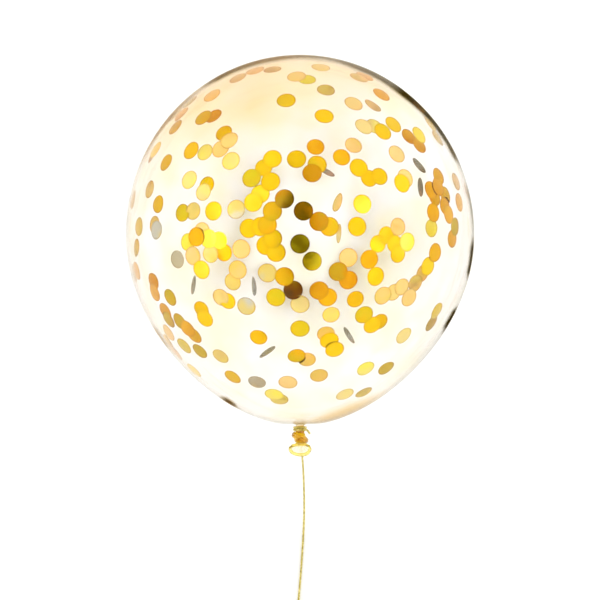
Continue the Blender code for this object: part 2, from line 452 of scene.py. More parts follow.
def drawnLine(name, points):
    # a line of edges, drawn by extruding a single point along it
    bpy.ops.object.select_all(action="DESELECT")
    bpy.ops.mesh.primitive_plane_add(size=0.001, location=points[0])
    line = bpy.context.object
    line.name = name
    bakePlace(line)
    bpy.context.tool_settings.mesh_select_mode = (True, False, False)
    bpy.ops.object.mode_set(mode="EDIT")
    bpy.ops.mesh.select_all(action="SELECT")
    bpy.ops.mesh.merge(type="CENTER")
    for start, end in zip(points, points[1:]):
        bpy.ops.mesh.extrude_region_move(TRANSFORM_OT_translate={"value": tuple(end - start)})
    bpy.ops.object.mode_set(mode="OBJECT")
    return line


def turnedPiece(name, profile, steps):
    # a profile of radius and place along Y, spun round the balloon's axis
    line = drawnLine(name, [Vector((0, y, axisHeight + radius)) for radius, y in profile])
    bpy.ops.object.mode_set(mode="EDIT")
    bpy.ops.mesh.select_all(action="SELECT")
    bpy.ops.mesh.spin(
        steps=steps, angle=2 * math.pi, center=(0, 0, axisHeight), axis=(0, 1, 0))
    bpy.ops.mesh.select_all(action="SELECT")
    bpy.ops.mesh.remove_doubles(threshold=0.000002)
    bpy.ops.mesh.normals_make_consistent(inside=False)
    bpy.ops.object.mode_set(mode="OBJECT")
    selectOnly(line)
    bpy.ops.object.shade_smooth()
    return line


def makeSkin():
    s = skinSetup
    skin = turnedPiece("clearSkin", skinProfile(), s["turnSteps"])
    for vertex in skin.data.vertices:
        across, up = vertex.co.x, vertex.co.z - axisHeight
        radius = math.hypot(across, up)
        if vertex.co.y < 0 and 0 < radius < s["pleatsFrom"]:
            gathered = (1 - radius / s["pleatsFrom"]) ** 2
            around = math.atan2(up, across)
            fold = 0.5 + 0.5 * math.cos(s["pleats"] * around + s["pleatDrift"] * math.sin(3 * around))
            shrink = 1 - s["pleatDepth"] * gathered * fold
            vertex.co.x *= shrink
            vertex.co.z = axisHeight + up * shrink
        # the flat spot, rolled in softly from the round form
        soft = s["flatSoftness"]
        height = vertex.co.z
        if height < 6 * soft:
            vertex.co.z = soft * math.log1p(math.exp(height / soft)) if height > -20 * soft else 0
    applyModifier(skin, "SOLIDIFY", thickness=s["wall"], offset=-1.0)
    placePiece(skin, "latex", "balloon")
    return skin


clearSkin = makeSkin()
print("skin blown:", len(clearSkin.data.polygons), "faces")


# Knot tied in the neck: a tight core with one turn of rolled latex slantwise round it
knotSetup = {
    "place": 0.16872,         # from the widest section
    "coreRadius": 0.0054,
    "wrapRadius": 0.0047,
    "wrapThickness": 0.0062,
    "slant": math.radians(28),
    "rootRadius": 0.0037,     # where the neck runs into the knot
    "rootLength": 0.0034,
    "rootAt": 0.0046,
    "voxel": 0.0003,
    "smoothShare": 0.6,
    "smoothRounds": 6,
    "creases": 9,
    "creaseDepth": 0.00022,
    "creaseDrift": 1.6,       # how unevenly they run
    "lumps": 0.6,             # height of the small lumps beside that of a crease
    "lumpScale": 420,
    "sunk": 1.2,              # creases lie this far in, so that the knot doesn't grow
}
knotCentre = Vector((0, -knotSetup["place"], axisHeight))


def makeKnot():
    s = knotSetup
    bpy.ops.object.select_all(action="DESELECT")
    bpy.ops.mesh.primitive_uv_sphere_add(
        segments=48, ring_count=32, radius=s["coreRadius"], location=knotCentre)
    core = bpy.context.object
    bpy.ops.mesh.primitive_torus_add(
        major_segments=72, minor_segments=32, major_radius=s["wrapRadius"],
        minor_radius=s["wrapThickness"] / 2, location=knotCentre,
        rotation=(math.pi / 2, 0, -s["slant"]))
    wrap = bpy.context.object
    bpy.ops.mesh.primitive_cylinder_add(
        vertices=40, radius=s["rootRadius"], depth=s["rootLength"], rotation=(math.pi / 2, 0, 0),
        location=knotCentre + Vector((0, s["rootAt"], 0)))
    root = bpy.context.object
    knot = joinAs("latexKnot", [core, wrap, root])
    bakePlace(knot)
    applyModifier(knot, "REMESH", mode="VOXEL", voxel_size=s["voxel"])
    applyModifier(knot, "SMOOTH", factor=s["smoothShare"], iterations=s["smoothRounds"])
    turn = Matrix.Rotation(-s["slant"], 3, "Z").inverted()
    for vertex in knot.data.vertices:
        local = turn @ (vertex.co - knotCentre)
        ring = math.hypot(local.x, local.z)
        around = math.atan2(local.z, local.x)
        across = math.atan2(local.y, ring - s["wrapRadius"])
        crease = math.sin(s["creases"] * across + s["creaseDrift"] * math.sin(2 * around + 0.6))
        crease += s["lumps"] * noise.noise(vertex.co * s["lumpScale"])
        outward = (vertex.co - knotCentre).normalized()
        vertex.co += outward * s["creaseDepth"] * (crease - s["sunk"])
    selectOnly(knot)
    bpy.ops.object.shade_smooth()
    placePiece(knot, "latex", "balloon")
    return knot


latexKnot = makeKnot()
print("knot tied:", len(latexKnot.data.polygons), "faces")


# Tail: flares from the knot to the rolled lip that the balloon was blown through
tailSetup = {
    "tilt": math.radians(36),
    "length": 0.0118,         # knot's centre to the middle of the lip
    "waistAt": 0.0046,
    "waistRadius": 0.0034,
    "lipRadius": 0.0083,
    "beadRadius": 0.0012,
    "wall": 0.00035,
    "bottomAt": 0.0060,       # where the mouth closes
    "beadArc": (math.radians(110), math.radians(-196)),
    "rows": 16,
    "beadRows": 18,
    "steps": 120,
    "pleats": 11,
    "pleatDepth": 0.13,
    "pleatDrift": 0.9,
    "lipWave": 0.0004,
}


def tailProfile():
    s = tailSetup
    beadStart, beadEnd = s["beadArc"]

    def beadPoint(angle):
        return Vector((
            s["lipRadius"] + s["beadRadius"] * math.cos(angle),
            s["length"] - s["beadRadius"] * math.sin(angle)))

    rim = beadPoint(beadStart)
    outside, inside = [], []
    for i in range(s["rows"]):
        share = i / s["rows"]
        radius = s["waistRadius"] + (rim.x - s["waistRadius"]) * share ** 2
        place = s["waistAt"] + (rim.y - s["waistAt"]) * share
        outside.append(Vector((radius, place)))
        if place > s["bottomAt"] + 0.0006:
            inside.append(Vector((radius - s["wall"], place + 0.0001)))
    bead = [
        beadPoint(beadStart + (beadEnd - beadStart) * i / s["beadRows"])
        for i in range(s["beadRows"] + 1)]
    start = [Vector((0, 0.0015)), Vector((0.0027, 0.0018)), Vector((0.0032, 0.0032))]
    floor = [Vector((0.0022, s["bottomAt"] + 0.0002)), Vector((0, s["bottomAt"]))]
    return start + outside + bead + list(reversed(inside)) + floor


def makeTail():
    s = tailSetup
    profile = [Vector((point.x, knotCentre.y - point.y)) for point in tailProfile()]
    tail = turnedPiece("latexTail", profile, s["steps"])
    reach = s["length"] + s["beadRadius"]
    for vertex in tail.data.vertices:
        local = vertex.co - knotCentre
        around = math.atan2(local.z, local.x)
        share = min(max(-local.y / reach, 0), 1)
        fold = math.cos(s["pleats"] * around + s["pleatDrift"] * math.sin(2 * around))
        gathered = 1 + s["pleatDepth"] * (1 - share) ** 1.2 * (fold - 0.4)
        wave = s["lipWave"] * share ** 3 * (math.sin(2 * around + 0.8) + 0.6 * math.sin(3 * around))
        vertex.co = knotCentre + Vector((local.x * gathered, local.y + wave, local.z * gathered))
    tip = Matrix.Rotation(-s["tilt"], 4, "X")
    tail.data.transform(Matrix.Translation(knotCentre) @ tip @ Matrix.Translation(-knotCentre))
    placePiece(tail, "latex", "balloon")
    return tail


latexTail = makeTail()
print("tail flared:", len(latexTail.data.polygons), "faces")


# Confetti: foil discs that cling to the inside of the skin
confettiSetup = {
    "discRadius": 0.0078,
    "thickness": 0.00006,
    "sides": 20,
    "cup": 0.00025,           # how far a disc's middle stands off its rim
    "curl": 9.0,              # how much a disc may be bent, as a curvature per metre
    "clearance": 0.00026,     # flat disc to round wall
    "lapLift": 0.00040,       # a disc that overlaps another lies this much further in
    "tilt": math.radians(2.2),
    "leanShare": 0.45,        # how far a leaning disc turns from the wall towards level
    "uprightRise": 0.25,      # how far an upright disc faces up
    "heldTilt": 0.4,          # share of the tilt that is left near the middle or on another disc
    "middle": 0.44,           # within this share of the radius, discs are on the near wall
    "outermost": 0.985,       # share of the radius that a seen disc reaches
    "spread": (0.2, 0.04),    # how far tones vary, as a share of the tone and at most
    "covered": 1.5,           # spacing in disc radii of those on the far wall, below seen ones
    "spotRing": (0.016, 0.038),  # round the flat spot's edge, where none of those lies
    "sidelong": 30,           # discs strewn over the sides, which are seen edge on from above
    "sideSpacing": 1.1,
    "sideHeight": 0.5,        # above and below the axis, as a share of the radius
    "sideReach": 0.93,        # towards both ends
    "sideTries": 6000,
    "seed": 11,
    # painted shade: the darkest tones, upright, leaning and brown, stand for the dark reflections of
    # discs tilted up from the wall
    "tones": {
        "leaning": 0.05, "upright": 0.0, "brownPaintedShade": 0.085, "bronze": 0.12, "orange": 0.21,
        "olive": 0.32, "gold": 0.45, "yellow": 0.58, "lemon": 0.70, "pale": 0.80, "peach": 0.90,
        "tan": 0.93, "silver": 1.0},
    "strewn": ("orange", "orange", "gold", "gold", "yellow", "pale", "peach"),
    # where the discs of each tone are seen from above, across and along, as shares of the radius,
    # and the way one on its edge runs, in degrees, with its own rise where it has one
    "seen": {
        # the leaning, upright and brown discs below carry painted shade in their dark tones
        "leaning": [(-0.04, -0.32)],
        "upright": [
            (-0.28, -0.31, 95), (0.30, -0.61, 122), (-0.20, -0.71, 35),
            (0.72, 0.42, 130), (-0.64, -0.30, 82), (0.73, 0.29, 95), (0.16, 0.39, 150)],
        "brownPaintedShade": [(-0.09, 0.21)],
        "bronze": [
            (0.07, 0.36), (0.02, 0.14), (0.11, 0.08), (0.22, -0.21), (0.28, -0.26), (0.11, -0.32)],
        "orange": [
            (0.09, 0.51), (0.17, 0.05), (-0.16, 0.14), (0.40, -0.14), (0.24, 0.45), (0.16, -0.36),
            (-0.50, 0.69), (-0.60, -0.01), (-0.85, -0.27), (-0.84, -0.33),
            (-0.78, -0.44), (-0.65, -0.54), (0.88, -0.02),
            (0.92, 0.19), (0.84, 0.23), (0.78, -0.10), (0.80, 0.34),
            (0.86, 0.12), (0.78, 0.22), (0.77, 0.13), (0.63, 0.57), (0.10, 0.41),
            (0.45, -0.05), (-0.09, -0.24), (-0.19, 0.06), (-0.44, -0.10),
            (0.80, 0.28), (0.84, 0.17), (0.76, 0.26), (-0.61, -0.58)],
        "olive": [
            (0.00, -0.05), (0.07, -0.15), (-0.28, 0.33), (-0.14, -0.36), (-0.68, 0.13), (-0.93, 0.05),
            (-0.75, -0.36), (0.00, -0.54), (0.50, -0.77), (0.79, -0.44), (0.76, -0.51),
            (-0.72, 0.70), (-0.58, -0.67), (-0.08, 0.78), (-0.76, -0.49), (0.37, -0.46),
            (0.90, 0.05), (-0.67, -0.64), (-0.64, 0.77), (-0.56, 0.68), (-0.70, -0.50),
            (-0.50, 0.14), (-0.02, -0.70)],
        "gold": [
            (-0.16, 0.44), (-0.21, 0.39), (-0.02, 0.44), (-0.17, 0.31), (-0.16, -0.02),
            (-0.14, -0.10), (0.32, -0.37), (0.44, -0.24), (0.50, 0.00), (0.34, 0.39),
            (0.46, 0.34), (0.14, 0.69), (-0.44, 0.59), (-0.63, 0.49), (-0.57, -0.43),
            (-0.55, -0.48), (-0.24, -0.59), (0.20, -0.66), (-0.39, -0.82), (0.42, -0.52),
            (0.46, -0.50), (0.54, 0.64), (-0.23, 0.05), (-0.20, -0.06), (-0.82, 0.18),
            (0.33, 0.05), (0.40, 0.33), (0.48, 0.60), (-0.54, 0.29), (0.17, -0.61), (-0.30, 0.04)],
        "yellow": [
            (-0.27, 0.19), (0.55, -0.05), (0.59, 0.30), (0.36, 0.18), (-0.23, 0.24),
            (0.57, -0.11), (0.69, 0.58), (-0.42, -0.38), (0.74, -0.18),
            (-0.47, -0.03), (-0.57, -0.20)],
        "lemon": [
            (-0.65, -0.04), (-0.53, -0.02), (0.76, 0.04),
            (-0.15, -0.92), (0.04, 0.90), (0.38, -0.77),
            (0.37, -0.91), (0.62, -0.04)],
        "pale": [
            (-0.56, 0.25), (-0.64, 0.32), (-0.55, 0.48), (-0.02, 0.92),
            (0.15, 0.84), (0.37, 0.63), (0.43, 0.63), (0.61, 0.33), (0.00, -0.40),
            (-0.46, -0.70), (0.60, -0.58), (0.54, -0.33), (-0.40, 0.43), (-0.12, -0.95), (0.26, -0.92),
            (-0.46, -0.36), (0.12, 0.97), (-0.52, -0.11),
            (-0.41, 0.55), (0.18, -0.46)],
        "peach": [
            (-0.51, 0.81), (-0.36, 0.91), (-0.26, 0.95), (-0.16, 0.96), (-0.46, 0.50),
            (0.44, 0.78, 146, 0.30), (0.15, -0.57), (-0.07, -0.85), (0.57, 0.05),
            (0.23, 0.20, 71, 0.45), (0.24, 0.01, 86), (0.71, -0.22),
            (0.34, 0.91), (0.31, 0.52), (0.31, 0.76), (0.59, -0.30), (0.63, -0.36),
            (0.67, -0.28), (0.48, -0.35), (-0.39, -0.27), (-0.57, 0.02), (-0.84, 0.06), (-0.62, -0.12),
            (-0.36, -0.20), (-0.34, -0.08), (-0.62, 0.14), (0.56, 0.47), (0.28, -0.13), (0.04, -0.72)],
        "tan": [(-0.37, 0.15), (-0.19, -0.22), (0.11, -0.81)],
        "silver": [
            (-0.83, 0.03), (-0.71, -0.14), (-0.31, -0.41), (-0.25, -0.85)],
    },
}


def radiusAt(along):
    if along >= 0:
        return bodyRadius * math.sqrt(max(1 - (along / crownLength) ** 2, 0))
    return throatPoint(math.asin(min(-along / skinSetup["throatLength"], 1))).x


def wallNormal(place):
    step = 0.0002
    slope = (radiusAt(place.y + step) - radiusAt(place.y - step)) / (2 * step)
    radius = max(math.hypot(place.x, place.z), 1e-6)
    return Vector((place.x / radius, -slope, place.z / radius)).normalized()


def seenPlace(across, along, side):
    # the wall's point, about the balloon's middle, that the camera sees there on the near or far side;
    # each round comes nearer to it
    outermost = confettiSetup["outermost"]
    height = 0.0
    for _ in range(8):
        nearness = 1 - height / cameraSetup["height"]
        x = across * nearness
        y = cameraSetup["centreY"] + (along - cameraSetup["centreY"]) * nearness
        radius = radiusAt(y)
        x = max(-outermost * radius, min(outermost * radius, x))
        height = side * math.sqrt(radius ** 2 - x ** 2)
    return Vector((x, y, height))


def modelDisc():
    s = confettiSetup
    bpy.ops.object.select_all(action="DESELECT")
    bpy.ops.mesh.primitive_circle_add(
        vertices=s["sides"], radius=s["discRadius"], fill_type="TRIFAN")
    disc = bpy.context.object
    disc.name = "foilDisc"
    for vertex in disc.data.vertices:
        if vertex.co.length < 1e-5:
            vertex.co.z = s["cup"]
    applyModifier(disc, "SOLIDIFY", thickness=s["thickness"], offset=0.0)
    selectOnly(disc)
    bpy.ops.object.shade_smooth_by_angle(angle=math.radians(40))
    disc.data.attributes.new("tone", "FLOAT", "POINT")
    return disc


def isFree(place, others, share):
    return all((place - other[0]).length > share * confettiSetup["discRadius"] for other in others)


def chooseDiscs(chance):
    s = confettiSetup
    chosen, covered = [], []
    side = 1
    for tone, places in s["seen"].items():
        for across, along, *standing in places:
            middle = math.hypot(across, along)
            side = 1 if middle < s["middle"] or standing or tone == "bronze" else -side
            place = seenPlace(across * bodyRadius, along * bodyRadius, side)
            spread = min(s["spread"][0] * s["tones"][tone], s["spread"][1])
            shade = s["tones"][tone] + chance.uniform(-spread, spread)
            chosen.append((place, shade, tone, standing))
            if middle < s["middle"] and not standing:
                covered.append(seenPlace(across * bodyRadius, along * bodyRadius, -1))

    def strew(place):
        tone = chance.choice(s["strewn"])
        chosen.append((place, s["tones"][tone], tone, None))

    for place in covered:
        fromSpot = math.hypot(place.x, place.y)
        onRing = s["spotRing"][0] < fromSpot < s["spotRing"][1]
        if not onRing and isFree(place, chosen, s["covered"]):
            strew(place)
    full = len(chosen) + s["sidelong"]
    for _ in range(s["sideTries"]):
        along = chance.uniform(-s["sideReach"], s["sideReach"]) * bodyRadius
        around = chance.uniform(0, 2 * math.pi)
        radius = radiusAt(along)
        place = Vector((radius * math.cos(around), along, radius * math.sin(around)))
        onSide = abs(place.z) <= s["sideHeight"] * bodyRadius
        if onSide and isFree(place, chosen, s["sideSpacing"]):
            strew(place)
        if len(chosen) == full:
            break
    return chosen


def makeConfetti():
    s = confettiSetup
    chance = random.Random(s["seed"])
    disc = modelDisc()
    copies, placed = [], []
    for place, shade, tone, standing in chooseDiscs(chance):
        normal = wallNormal(place)
        if place.z < -axisHeight + 0.0002:
            place = Vector((place.x, place.y, -axisHeight))
            normal = Vector((0, 0, -1))
        level = 0
        for other, otherLevel in placed:
            if (place - other).length < 2 * s["discRadius"]:
                level = max(level, otherLevel + 1)
        placed.append((place, level))
        held = level or math.hypot(place.x, place.y) < s["middle"] * bodyRadius
        tilt = abs(chance.gauss(0, s["tilt"])) * (s["heldTilt"] if held else 1.0)
        leaning = Vector((chance.uniform(-1, 1), chance.uniform(-1, 1), chance.uniform(-1, 1)))
        if tone == "leaning":
            leaning = Vector((0, 0, 1))
            tilt = s["leanShare"] * normal.angle(leaning)
        if standing:
            heading, rise = (*standing, s["uprightRise"])[:2]
            across = math.radians(heading + 90)
            leaning = Vector((math.cos(across), math.sin(across), rise))
            tilt = normal.angle(leaning)
        lift = (skinSetup["wall"] + s["clearance"] + s["cup"]
                + level * s["lapLift"] + s["discRadius"] * math.sin(tilt))
        tipped = Matrix.Rotation(tilt, 3, normal.cross(leaning).normalized()) @ normal
        turned = tipped.to_track_quat("Z", "Y").to_matrix().to_4x4()
        turned = turned @ Matrix.Rotation(chance.uniform(0, 2 * math.pi), 4, "Z")
        centre = place + Vector((0, 0, axisHeight)) - normal * lift
        copy = disc.copy()
        copy.data = disc.data.copy()
        bpy.context.scene.collection.objects.link(copy)
        curl = chance.uniform(-s["curl"], s["curl"])
        for vertex in copy.data.vertices:
            vertex.co.z += curl * (vertex.co.x ** 2 - vertex.co.y ** 2) / 2
        copy.data.transform(Matrix.Translation(centre) @ turned)
        tones = copy.data.attributes["tone"]
        for i in range(len(copy.data.vertices)):
            tones.data[i].value = min(max(shade, 0.0), 1.0)
        copies.append(copy)
    bpy.data.objects.remove(disc, do_unlink=True)
    confetti = joinAs("foilConfetti", copies)
    placePiece(confetti, "foil")
    print("confetti strewn:", len(copies), "discs,", max(level for _, level in placed), "deep")
    return confetti


foilConfetti = makeConfetti()


# Materials
def newMaterial(name):
    material = bpy.data.materials.new(name)
    material.use_nodes = True
    nodes = material.node_tree.nodes
    return material, nodes, material.node_tree.links, nodes["Principled BSDF"]


def addNode(nodes, kind, **values):
    node = nodes.new(kind)
    for key, value in values.items():
        if isinstance(value, dict):
            for socket, setting in value.items():
                node.inputs[socket].default_value = setting
        else:
            setattr(node, key, value)
    return node


def setRamp(ramp, stops):
    elements = ramp.color_ramp.elements
    while len(elements) > 1:
        elements.remove(elements[-1])
    elements[0].position = stops[0][0]
    elements[0].color = (*stops[0][1], 1)
    for place, colour in stops[1:]:
        elements.new(place).color = (*colour, 1)


def paint(obj, material):
    obj.data.materials.clear()
    obj.data.materials.append(material)


def addRamp(nodes, links, source, stops):
    ramp = nodes.new("ShaderNodeValToRGB")
    setRamp(ramp, stops)
    links.new(source, ramp.inputs["Fac"])
    return ramp.outputs["Color"]


def addRange(nodes, links, source, start, end, low=0.0, high=1.0, soft=False):
    # what runs from start to end runs from low to high, and stops there
    mapped = addNode(nodes, "ShaderNodeMapRange", inputs={
        "From Min": start, "From Max": end, "To Min": low, "To Max": high})
    if soft:
        mapped.interpolation_type = "SMOOTHSTEP"
    links.new(source, mapped.inputs["Value"])
    return mapped.outputs["Result"]


def addMath(nodes, links, operation, *sources):
    reckoned = addNode(nodes, "ShaderNodeMath", operation=operation)
    for source, socket in zip(sources, reckoned.inputs):
        links.new(source, socket)
    return reckoned.outputs["Value"]


def addMeasure(nodes, links, operation, source, fixed):
    # a length or share of each point's place against a fixed vector
    measured = addNode(nodes, "ShaderNodeVectorMath", operation=operation)
    measured.inputs[1].default_value = fixed
    links.new(source, measured.inputs[0])
    return measured.outputs["Value"]


def addTint(nodes, links, share, colour, tint):
    tinted = addNode(nodes, "ShaderNodeMix", data_type="RGBA", blend_type="MULTIPLY")
    tinted.inputs[7].default_value = (*tint, 1)
    links.new(share, tinted.inputs["Factor"])
    links.new(colour, tinted.inputs[6])
    return tinted.outputs[2]


# Shared group: soft patches and fine grain, as a colour mask and a height
def buildGrainGroup():
    group = bpy.data.node_groups.new("fineGrain", "ShaderNodeTree")
    sockets = group.interface
    sockets.new_socket("Vector", in_out="INPUT", socket_type="NodeSocketVector")
    for name, scale in (("Patch Scale", 12), ("Grain Scale", 600)):
        socket = sockets.new_socket(name, in_out="INPUT", socket_type="NodeSocketFloat")
        socket.default_value = scale
    for name in ("Patches", "Grain"):
        sockets.new_socket(name, in_out="OUTPUT", socket_type="NodeSocketFloat")
    nodes, links = group.nodes, group.links
    given = nodes.new("NodeGroupInput")
    result = nodes.new("NodeGroupOutput")
    patches = addNode(nodes, "ShaderNodeTexNoise", inputs={"Detail": 2.0, "Roughness": 0.5})
    grain = addNode(nodes, "ShaderNodeTexNoise", inputs={"Detail": 3.0, "Roughness": 0.6})
    for texture, scale in ((patches, "Patch Scale"), (grain, "Grain Scale")):
        links.new(given.outputs["Vector"], texture.inputs["Vector"])
        links.new(given.outputs[scale], texture.inputs["Scale"])
    spread = addRange(nodes, links, patches.outputs["Fac"], 0.35, 0.65)
    links.new(spread, result.inputs["Patches"])
    links.new(grain.outputs["Fac"], result.inputs["Grain"])
    return group


fineGrain = buildGrainGroup()


def addGrain(nodes, links, patchScale, grainScale):
    place = nodes.new("ShaderNodeTexCoord")
    grain = nodes.new("ShaderNodeGroup")
    grain.node_tree = fineGrain
    grain.inputs["Patch Scale"].default_value = patchScale
    grain.inputs["Grain Scale"].default_value = grainScale
    links.new(place.outputs["Object"], grain.inputs["Vector"])
    return place, grain.outputs["Patches"], grain.outputs["Grain"]


def addBump(nodes, links, height, shader, strength, distance):
    bump = addNode(nodes, "ShaderNodeBump", inputs={"Strength": strength, "Distance": distance})
    links.new(height, bump.inputs["Height"])
    links.new(bump.outputs["Normal"], shader.inputs["Normal"])


def letLampsThrough(nodes, links, shader, paintedOutline=None, paintedOutlineColour=None):
    # lamps and the light off the floor pass straight through the latex, and so does what a painted
    # outline mask names, tinted with its painted dark colour
    path = nodes.new("ShaderNodeLightPath")
    clear = nodes.new("ShaderNodeBsdfTransparent")
    mix = nodes.new("ShaderNodeMixShader")
    passing = addMath(
        nodes, links, "MAXIMUM", path.outputs["Is Shadow Ray"], path.outputs["Is Diffuse Ray"])
    if paintedOutline:
        passing = addMath(nodes, links, "MAXIMUM", passing, paintedOutline)
        links.new(paintedOutlineColour, clear.inputs["Color"])
    links.new(passing, mix.inputs["Fac"])
    links.new(shader.outputs["BSDF"], mix.inputs[1])
    links.new(clear.outputs["BSDF"], mix.inputs[2])
    links.new(mix.outputs["Shader"], nodes["Material Output"].inputs["Surface"])


def makeClearLatex():
    material, nodes, links, shader = newMaterial("clearLatex")
    shader.inputs["Transmission Weight"].default_value = 1.0
    shader.inputs["IOR"].default_value = 1.15
    place, patches, _ = addGrain(nodes, links, patchScale=9, grainScale=260)
    _, stretches, _ = addGrain(nodes, links, patchScale=22, grainScale=260)
    point = place.outputs["Object"]
    split = nodes.new("ShaderNodeSeparateXYZ")
    links.new(point, split.inputs["Vector"])
    x, y, z = split.outputs
    # painted reflection: the film's colour greys and browns towards where it is seen edge on, as
    # darker surroundings reflected in it would
    facing = addNode(nodes, "ShaderNodeLayerWeight", inputs={"Blend": 0.5})
    uneven = addRange(nodes, links, patches, 0, 1, -0.07, 0.03)
    edge = addMath(nodes, links, "ADD", facing.outputs["Facing"], uneven)
    rim = addRamp(nodes, links, edge, [
        (0.0, (1, 1, 1)), (0.35, (0.995, 0.99, 0.985)), (0.62, (0.975, 0.955, 0.945)),
        (0.80, (0.945, 0.915, 0.89)), (0.92, (0.88, 0.84, 0.785)), (1.0, (0.80, 0.73, 0.63))])
    # warmer towards the crown and the upper left, in patches, and amber at the neck, where the latex
    # is least stretched
    lateral = addMeasure(nodes, links, "DOT_PRODUCT", point, (-0.38, 1.0, 0))
    cloud = addRange(nodes, links, patches, 0, 1, -0.034, 0.034)
    crownward = addRange(nodes, links, y, -0.08, 0.02)
    clouded = addMath(nodes, links, "MULTIPLY_ADD", cloud, crownward, lateral)
    along = addRange(nodes, links, clouded, -0.17, 0.15)
    ends = addRamp(nodes, links, along, [
        (0.0, (0.72, 0.50, 0.20)), (0.03, (0.93, 0.80, 0.55)), (0.046, (1, 0.99, 0.97)),
        (0.10, (1, 1, 1)), (0.73, (1, 1, 1)), (0.86, (1.0, 0.965, 0.90)),
        (1.0, (1.0, 0.88, 0.71))])
    both = addNode(nodes, "ShaderNodeMix", data_type="RGBA", blend_type="MULTIPLY")
    both.inputs["Factor"].default_value = 1.0
    links.new(rim, both.inputs[6])
    links.new(ends, both.inputs[7])
    patchy = addRange(nodes, links, stretches, 0.25, 1.0)
    warm = addTint(nodes, links, patchy, both.outputs[2], (1.0, 0.98, 0.87))
    links.new(warm, shader.inputs["Base Color"])
    rough = addRange(nodes, links, y, -0.168, -0.140, 0.22, 0.0)
    links.new(rough, shader.inputs["Roughness"])
    addBump(nodes, links, patches, shader, strength=0.04, distance=0.001)
    # the painted outline: a painted dark reflection where the film is seen edge on, in broken
    # stretches, most of it on one side; round the sides, which make the outline from above, the
    # stretches are laid by the angle
    lean = addMeasure(nodes, links, "DOT_PRODUCT", point, (2.6, 2.4, 0))
    varied = addMath(nodes, links, "ADD", lean, stretches)
    strength = addRange(nodes, links, varied, 0.15, 0.95)
    angle = addMath(nodes, links, "ARCTAN2", y, x)
    turn = addRange(nodes, links, angle, -math.pi, math.pi)
    paintedOutlineDashes = addRamp(nodes, links, turn, [
        ((degrees + 180) / 360, (dark, dark, dark)) for degrees, dark in skinSetup["paintedOutlineDashes"]])
    rise = addMath(nodes, links, "SUBTRACT", z)
    rise.node.inputs[1].default_value = axisHeight
    level = addMath(nodes, links, "ABSOLUTE", rise)
    sides = addRange(
        nodes, links, level, 0.24 * bodyRadius, 0.5 * bodyRadius, 1.0, 0.0, soft=True)
    broken = addNode(nodes, "ShaderNodeMix", data_type="FLOAT")
    links.new(sides, broken.inputs["Factor"])
    links.new(strength, broken.inputs["A"])
    links.new(paintedOutlineDashes, broken.inputs["B"])
    # the painted outline is thinner where it is faint
    narrowed = addRange(nodes, links, broken.outputs["Result"], 0, 1, -0.09, 0.0)
    lineEdge = addMath(nodes, links, "ADD", edge, narrowed)
    edgeOn = addRange(nodes, links, lineEdge, 0.69, 0.80, soft=True)
    paintedOutline = addMath(nodes, links, "MULTIPLY", edgeOn, broken.outputs["Result"])
    # the painted outline's colour, a painted dark reflection, olive and brown across the balloon
    across = addRange(nodes, links, x, -bodyRadius, bodyRadius)
    paintedOutlineTints = addRamp(nodes, links, across, [
        (0.0, (0.76, 0.56, 0.22)), (0.28, (0.56, 0.45, 0.15)), (0.45, (0.62, 0.48, 0.16)),
        (0.75, (0.44, 0.38, 0.19))])
    paintedOutlineTint = addNode(nodes, "ShaderNodeMix", data_type="RGBA")
    paintedOutlineTint.inputs[6].default_value = (1, 1, 1, 1)
    links.new(edgeOn, paintedOutlineTint.inputs["Factor"])
    links.new(paintedOutlineTints, paintedOutlineTint.inputs[7])
    letLampsThrough(nodes, links, shader, paintedOutline, paintedOutlineTint.outputs[2])
    return material


def makeThickLatex():
    material, nodes, links, shader = newMaterial("thickLatex")
    shader.inputs["Base Color"].default_value = (1.0, 0.97, 0.90, 1)
    shader.inputs["Transmission Weight"].default_value = 1.0
    shader.inputs["IOR"].default_value = 1.46
    _, patches, grain = addGrain(nodes, links, patchScale=240, grainScale=1500)
    links.new(addRange(nodes, links, patches, 0, 1, 0.06, 0.2), shader.inputs["Roughness"])
    addBump(nodes, links, grain, shader, strength=0.15, distance=0.0003)
    absorb = nodes.new("ShaderNodeVolumeAbsorption")
    absorb.inputs["Color"].default_value = (0.96, 0.89, 0.02, 1)
    absorb.inputs["Density"].default_value = 560
    links.new(absorb.outputs["Volume"], nodes["Material Output"].inputs["Volume"])
    letLampsThrough(nodes, links, shader)
    return material


